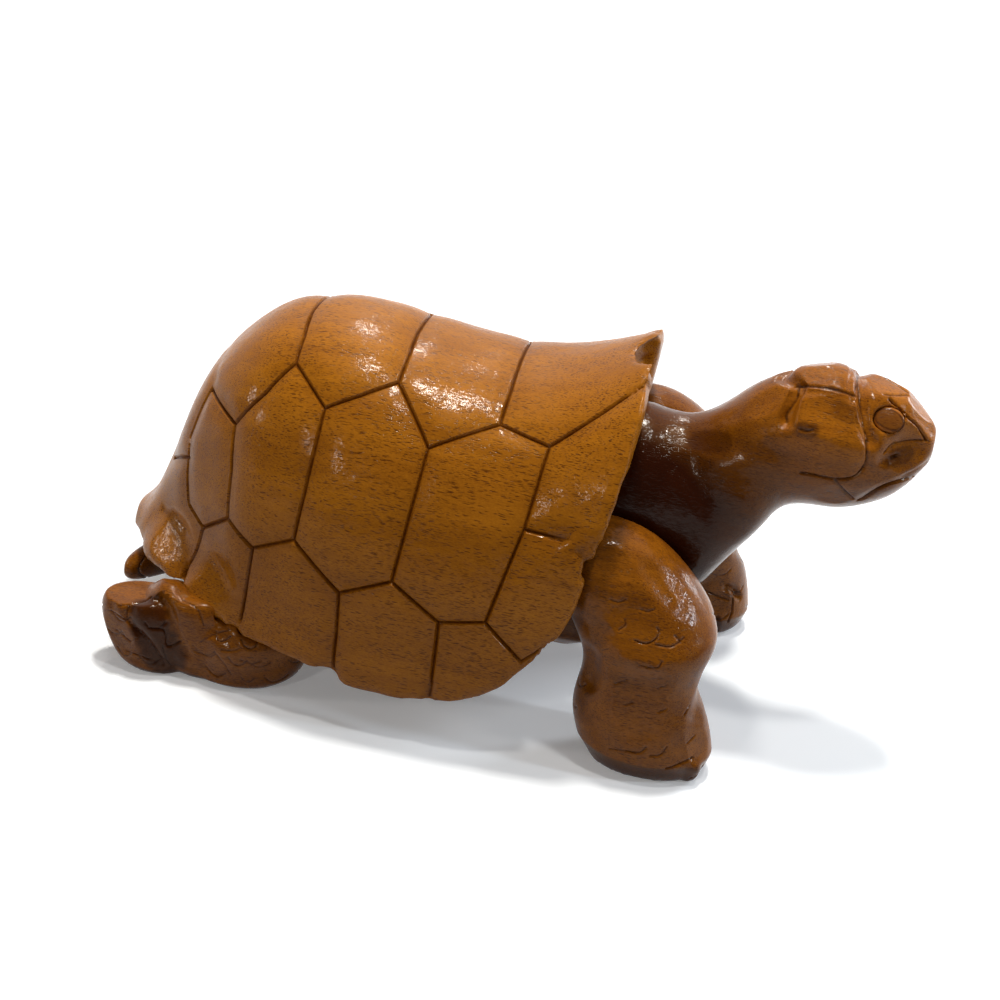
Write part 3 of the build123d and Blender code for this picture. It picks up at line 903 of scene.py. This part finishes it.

# %% [markdown]
# ## Legs and tail
# The near front leg shows its cuts plainly, so the strokes are read there. The far leg is the
# same carving, a little taller and further ahead, and takes the same strokes, carried over. Where
# the photograph doesn't reach, the skin's crescents go on by rule. The soles have a bevel,
# darkened with painted shade.

# %% Front legs
leg_net = 0.85 * mm
near_low, near_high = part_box("right_front_leg")
far_low, far_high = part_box("left_front_leg")
scale_strokes = (
    ([(625, 620), (625, 626), (619, 630)], 1.0 * mm, 0.4 * mm),
    ([(635, 641), (645, 644), (654, 641), (659, 633), (657, 628)], 1.1 * mm, 0.55 * mm),
    ([(656, 645), (670, 647), (678, 643), (684, 638)], 1.1 * mm, 0.5 * mm),
    ([(675, 636), (681, 642)], 1.2 * mm, 0.5 * mm),
    ([(639, 667), (649, 669), (658, 668), (662, 662)], 1.1 * mm, 0.5 * mm),
    ([(615, 684), (627, 683)], 0.9 * mm, 0.4 * mm),
    ([(658, 690), (666, 687)], 0.9 * mm, 0.35 * mm),
    ([(625, 706), (633, 704)], 0.9 * mm, 0.35 * mm),
    ([(658, 713), (666, 709)], 0.9 * mm, 0.35 * mm),
    ([(609, 749), (625, 751), (639, 753), (646, 748)], 1.1 * mm, 0.5 * mm),
    ([(650, 756), (660, 755), (667, 747)], 1.1 * mm, 0.45 * mm),
    ([(684, 715), (690, 706)], 0.9 * mm, 0.45 * mm),
    ([(688, 744), (697, 736)], 0.9 * mm, 0.35 * mm),
    ([(666, 769), (678, 765), (694, 758)], 1.2 * mm, 0.7 * mm),
    ([(696, 778), (706, 767)], 1.2 * mm, 0.7 * mm),
    ([(601, 651), (608, 649)], 0.9 * mm, 0.35 * mm),
    ([(640, 610), (648, 612), (655, 609)], 0.9 * mm, 0.35 * mm),
    ([(610, 600), (619, 603), (626, 600)], 0.9 * mm, 0.3 * mm),
)
front_flats = (
    ((612, 566), 15.0 * mm, 0.8 * mm),
    ((680, 592), 15.0 * mm, 0.4 * mm),
    ((638, 640), 18.0 * mm, 0.6 * mm),
    ((630, 712), 18.0 * mm, 0.7 * mm),
    ((697, 744), 10.0 * mm, 0.9 * mm),
    ((682, 750), 8.0 * mm, 0.5 * mm),
)
form_strokes = (
    ([(592, 655), (590, 680)], 12.0 * mm, 1.2 * mm),
    ([(700, 690), (697, 715)], 12.0 * mm, 1.2 * mm),
    ([(640, 690), (644, 725)], 16.0 * mm, 0.7 * mm),
    ([(648, 570), (672, 600)], 10.0 * mm, 0.7 * mm),
    ([(696, 768), (699, 782)], 8.0 * mm, -1.6 * mm),
)


def to_far_leg(place):
    """The place on the far front leg that matches one on the near leg."""
    across = (place.x - near_low.x) / (near_high.x - near_low.x)
    outward = (place.y - near_high.y) / (near_low.y - near_high.y)
    up = (place.z - near_low.z) / (near_high.z - near_low.z)
    return Vector((far_low.x + across * (far_high.x - far_low.x),
                   far_low.y + outward * (far_high.y - far_low.y),
                   far_low.z + up * (far_high.z - far_low.z)))


# Painted shade: limbs, tail and trunk are darkened all over, partly as stain and partly as shade
# under the shell, and the sole bevel takes more painted shade
limb_stain_and_shade = 1.15
sole_shade = 1.4
least_foot = 10 * mm


def bevel_sole(blank, tall, inward):
    """Cuts a slanting band round the bottom of a foot, darkened with painted shade. The whole limb
    is darkened too, with stain and painted shade.
    """
    points, _ = read_points(blank)
    points[:, 2] = np.maximum(points[:, 2], 0)
    low = np.clip(1 - points[:, 2] / tall, 0, 1)
    from_middle = (points - points[low > 0].mean(0)) * (1, 1, 0)
    away = np.maximum(np.linalg.norm(from_middle, axis=1), least_foot)
    write_points(blank, points - from_middle * (inward * low / away)[:, None])
    paint(blank, "beside_groove", limb_stain_and_shade + sole_shade * np.clip(low * 8, 0, 1))


near_leg = even_skin("right_front_leg", "near_front_leg", leg_net, 3)
far_leg = even_skin("left_front_leg", "far_front_leg", leg_net, 3)
near_leg_tree = skin_tree(near_leg)
front_levels = [level * mm for level in (9, 17.5, 26, 34.5, 43, 51.5)]
for leg, carries in ((near_leg, (None,)), (far_leg, (to_far_leg,))):
    carve(leg, laid(leg, form_strokes, carries, near_leg_tree), gouge)
    pare(leg, front_flats, carries, near_leg_tree)
    carve(leg, laid(leg, scale_strokes, carries, near_leg_tree)
          + crescents(leg, front_levels, 9, 40 * mm, lambda p: p[:, 0] > 20 * mm),
          knife, fine=1.5 * mm)
    bevel_sole(leg, tall=8.0 * mm, inward=3.4 * mm)
pare(far_leg, (((712, 597), 11.0 * mm, 1.4 * mm),))
carve(far_leg, laid(far_leg, (
    ([(727, 588), (734, 590), (739, 597)], 4.0 * mm, 1.8 * mm),
    ([(715, 632), (717, 618)], 3.0 * mm, 1.0 * mm),
)), gouge)
carve(far_leg, laid(far_leg, (
    ([(733, 598), (732, 612), (728, 622)], 1.2 * mm, 0.8 * mm),
    ([(700, 588), (716, 596), (728, 600)], 1.0 * mm, 0.5 * mm),
)), knife, fine=1.5 * mm)
dress(near_leg, "body_wood", "right_front_leg")
dress(far_leg, "body_wood", "left_front_leg")

# %% Hind legs
hind_forms = (
    ([(152, 588), (172, 590)], 14.0 * mm, -2.6 * mm),
    ([(130, 608), (129, 622), (146, 642), (160, 664)], 7.0 * mm, 1.2 * mm),
    ([(160, 596), (168, 610), (176, 630), (186, 652)], 7.0 * mm, 1.4 * mm),
    ([(112, 606), (116, 632), (126, 652)], 5.0 * mm, 0.5 * mm),
    ([(215, 632), (228, 640)], 10.0 * mm, 0.7 * mm),
)
hind_flats = (
    ((128, 591), 12.0 * mm, 1.5 * mm),
    ((117, 632), 10.0 * mm, 0.9 * mm),
    ((190, 636), 10.0 * mm, 0.6 * mm),
)
hind_recess_shade = (([(147, 612), (152, 634), (166, 658)], 9.0 * mm),)
hind_lines = (
    ([(120, 606), (132, 601), (151, 597)], 1.1 * mm, 0.5 * mm),
    ([(129, 606), (127, 621), (146, 641), (163, 665)], 1.1 * mm, 0.6 * mm),
    ([(149, 628), (165, 631), (168, 646), (180, 643)], 1.1 * mm, 0.6 * mm),
    ([(110, 612), (120, 619), (127, 621)], 1.1 * mm, 0.5 * mm),
    ([(163, 647), (166, 660), (172, 666)], 1.0 * mm, 0.5 * mm),
    ([(114, 632), (129, 643)], 1.0 * mm, 0.45 * mm),
    ([(125, 652), (138, 655), (151, 660)], 1.0 * mm, 0.45 * mm),
    ([(183, 600), (197, 609), (204, 626)], 1.0 * mm, 0.4 * mm),
    ([(200, 643), (214, 634), (229, 630)], 1.0 * mm, 0.45 * mm),
    ([(221, 650), (232, 651), (241, 648)], 1.0 * mm, 0.4 * mm),
    ([(238, 629), (242, 634)], 1.2 * mm, 0.6 * mm),
    ([(190, 650), (206, 656), (214, 652)], 1.0 * mm, 0.4 * mm),
    ([(214, 652), (224, 664), (231, 675)], 1.0 * mm, 0.4 * mm),
    ([(240, 660), (252, 664), (262, 661)], 1.0 * mm, 0.4 * mm),
)
near_hind = even_skin("right_hind_leg", "near_hind_leg", leg_net, 3)
far_hind = even_skin("left_hind_leg", "far_hind_leg", leg_net, 3)
near_hind_tree = skin_tree(near_hind)
hind_levels = [level * mm for level in (6, 12.5, 19, 25.5, 32, 38.5)]
haunch_start = -93 * mm
foot_end = haunch_start - 5 * mm
for leg, carries in ((near_hind, (None,)), (far_hind, (mirrored,))):
    carve(leg, laid(leg, hind_forms, carries, near_hind_tree), gouge)
    pare(leg, hind_flats, carries, near_hind_tree)
    carve(leg, laid(leg, hind_lines, carries, near_hind_tree)
          + crescents(leg, hind_levels, 9, 30 * mm, lambda p: p[:, 0] > haunch_start)
          + crescents(leg, hind_levels[:4], 6, 25 * mm, lambda p: p[:, 0] < foot_end),
          knife, fine=1.5 * mm)
    bevel_sole(leg, tall=2.4 * mm, inward=0.8 * mm)
    # Painted shade in the hollow between the foot and the haunch
    paint(leg, "knot", 1.5 * spots(leg, hind_recess_shade, carries, near_hind_tree))
dress(near_hind, "body_wood", "right_hind_leg")
dress(far_hind, "body_wood", "left_hind_leg")

# %% Tail
tail_net = 0.7 * mm
ring_places = [place * mm for place in (-118, -112, -106, -100)]
ring_stops = 24
ring_lean = 0.12

tail = even_skin("tail", "tail_piece", tail_net, 3)
tail_tree = skin_tree(tail)
points, _ = read_points(tail)
rings = []
for ring_place in ring_places:
    slab = points[np.abs(points[:, 0] - ring_place) < 1 * mm]
    middle = Vector((slab.min(0) + slab.max(0)) / 2)
    stops = []
    for step in range(ring_stops + 1):
        turn = step / ring_stops * math.tau
        found = tail_tree.ray_cast(middle, Vector((
            ring_lean * math.cos(3 * turn), math.cos(turn), math.sin(turn))))[0]
        if found is not None:
            stops.append(found)
    rings.append((along(tail_tree, stops), 1.2 * mm, 0.55 * mm))
carve(tail, rings, knife, fine=1.5 * mm)
# Painted shade: the tail is darkened all over like the limbs, partly as stain and partly as shade
# under the shell
paint(tail, "beside_groove", np.full(len(tail.data.vertices), limb_stain_and_shade))
dress(tail, "body_wood", "tail")

# %% [markdown]
# ## Trunk
# The trunk shows between the rim and the legs, and from below, where the belly plates meet in one
# long seam and a few cross seams.

# %% Belly seams
trunk_net = 1.5 * mm
belly_level = 20 * mm
seam_ends = (((-84, 0), (26, 0)), ((-70, -22), (-66, 22)), ((-48, -40), (-44, 40)),
             ((-22, -44), (-24, 44)), ((2, -24), (-2, 24)), ((20, -20), (16, 20)))

body = even_skin("trunk", "trunk_block", trunk_net, 3)
body_tree = skin_tree(body)
seams = [(along(body_tree, [Vector((*end, 0)) * mm + Vector((0, 0, belly_level)) for end in ends]),
          2.0 * mm, 0.8 * mm) for ends in seam_ends]
carve(body, seams, knife, fine=2.2 * mm)
# Painted shade: the trunk sits in the dark recess under the shell and is darkened all over
paint(body, "beside_groove", np.full(len(body.data.vertices), limb_stain_and_shade))
dress(body, "body_wood", "trunk")

# %% [markdown]
# ## Pieces that keep their own shape
# The dowels are hidden in their bores and turned round already, so they only need a finish.

# %% Finish the dowels
slots = {part["node"]: part["material_slot"] for part in frame["record"]["subparts"]}
for node_name, node_object in frame["nodes"].items():
    node_object.data.materials.clear()
    node_object.data.materials.append(woods[slots[node_name]])

# %% [markdown]
# ## Floor, backdrop and light
# The object stands on a plain pale floor. The camera, the gloss and clear things see floor and
# backdrop white, with the object's shadow on them, except for the darker room behind the camera.
# The wood gets much less light back from the floor than a white one would give.

# %% Floor that keeps the shadow
floor_size = 6.0
floor_white = (0.90, 0.93, 0.97, 1)
floor_glow = 0.16
floor_bounce = (0.27, 0.27, 0.27, 1)
glow_start, glow_full = 0.3, 1.4


def seen_by_eye(tree):
    """A socket that is 1 for rays by which the background is seen, and 0 for rays of light."""
    rays = tree.node("ShaderNodeLightPath").outputs
    seen = rays["Is Camera Ray"]
    for kind in ("Is Glossy Ray", "Is Transmission Ray"):
        seen = tree.math_of("ADD", seen, rays[kind], clamp=True)
    return rays["Is Camera Ray"], seen


floor_mesh = bpy.data.meshes.new("floor")
with opened(floor_mesh) as shape:
    bmesh.ops.create_grid(shape, x_segments=1, y_segments=1, size=floor_size / 2)
floor = bpy.data.objects.new("floor", floor_mesh)
scene.collection.objects.link(floor)
floor_paint = bpy.data.materials.new("floor_paint")
tree = NodeTree(floor_paint)
_, seen = seen_by_eye(tree)
from_middle = tree.node("ShaderNodeVectorMath", {0: tree.place("Object")}, operation="LENGTH")
far_white = tree.ramp(from_middle.outputs["Value"], glow_start, glow_full, base=floor_glow)
tree.surface({
    "Base Color": tree.mix(seen, floor_bounce, floor_white),
    "Emission Color": (1, 1, 1, 1),
    "Emission Strength": tree.math_of("MULTIPLY", seen, far_white),
    "Roughness": 0.9,
    "Specular IOR Level": 0.1,
})
floor_mesh.materials.append(floor_paint)

# %% World
room_edge, backdrop_edge = -0.25, 0.35
fill_colour = (1.0, 0.97, 0.93, 1)
fill_strength = 0.13

world = bpy.data.worlds.new("studio")
scene.world = world
tree = NodeTree(world)
camera_ray, seen = seen_by_eye(tree)
direction = tree.node("ShaderNodeSeparateXYZ", {0: tree.place("Generated")})
is_behind = tree.ramp(direction.outputs["Y"], room_edge, backdrop_edge)
shown = tree.math_of("MULTIPLY", seen, tree.math_of("MAXIMUM", camera_ray, is_behind))
soft_fill = tree.node("ShaderNodeBackground", {"Color": fill_colour, "Strength": fill_strength})
backdrop = tree.node("ShaderNodeBackground", {"Color": (1, 1, 1, 1), "Strength": 1.0})
which = tree.node("ShaderNodeMixShader", {
    0: shown, 1: soft_fill.outputs[0], 2: backdrop.outputs[0]})
tree.node("ShaderNodeOutputWorld", {"Surface": which.outputs[0]})
print("the world's fill has strength", fill_strength)


# %% Lamps
def lamp(name, place, aim, size, power, colour):
    """A soft square lamp that faces a point of the object."""
    data = bpy.data.lights.new(name, "AREA")
    data.shape = "RECTANGLE"
    data.size, data.size_y = size
    data.energy = power
    data.color = colour
    made = bpy.data.objects.new(name, data)
    made.location = place
    made.rotation_euler = (Vector(aim) - Vector(place)).to_track_quat("-Z", "Y").to_euler()
    scene.collection.objects.link(made)
    print(name, "at", place)


lamp("ceiling_lamp", (-0.02, 0.2, 1.3), (0, 0, 0.06), (0.15, 0.15), 13.0, (1.0, 0.97, 0.9))
lamp("near_ceiling_lamp", (0.22, -0.12, 1.25), (0.04, 0, 0.08), (0.08, 0.08), 3.0,
     (1.0, 0.98, 0.94))
lamp("back_lamp", (-0.15, 0.9, 0.85), (-0.02, 0, 0.08), (0.1, 0.1), 3.0, (1.0, 0.96, 0.9))
lamp("window", (1.1, -0.05, 0.65), (0.05, 0, 0.06), (0.08, 0.18), 3.6, (0.84, 0.92, 1.0))
lamp("far_window", (0.95, 0.8, 0.5), (0.09, 0, 0.1), (0.35, 0.35), 8.0, (0.88, 0.94, 1.0))
lamp("rear_window", (-1.1, -0.35, 0.4), (-0.08, 0, 0.04), (0.08, 0.08), 1.8, (1.0, 0.95, 0.88))
lamp("room", (-0.45, -1.0, 0.6), (0, 0, 0.05), (0.08, 0.08), 1.4, (1.0, 0.96, 0.9))
bpy.context.scene.view_settings.view_transform = "Standard"
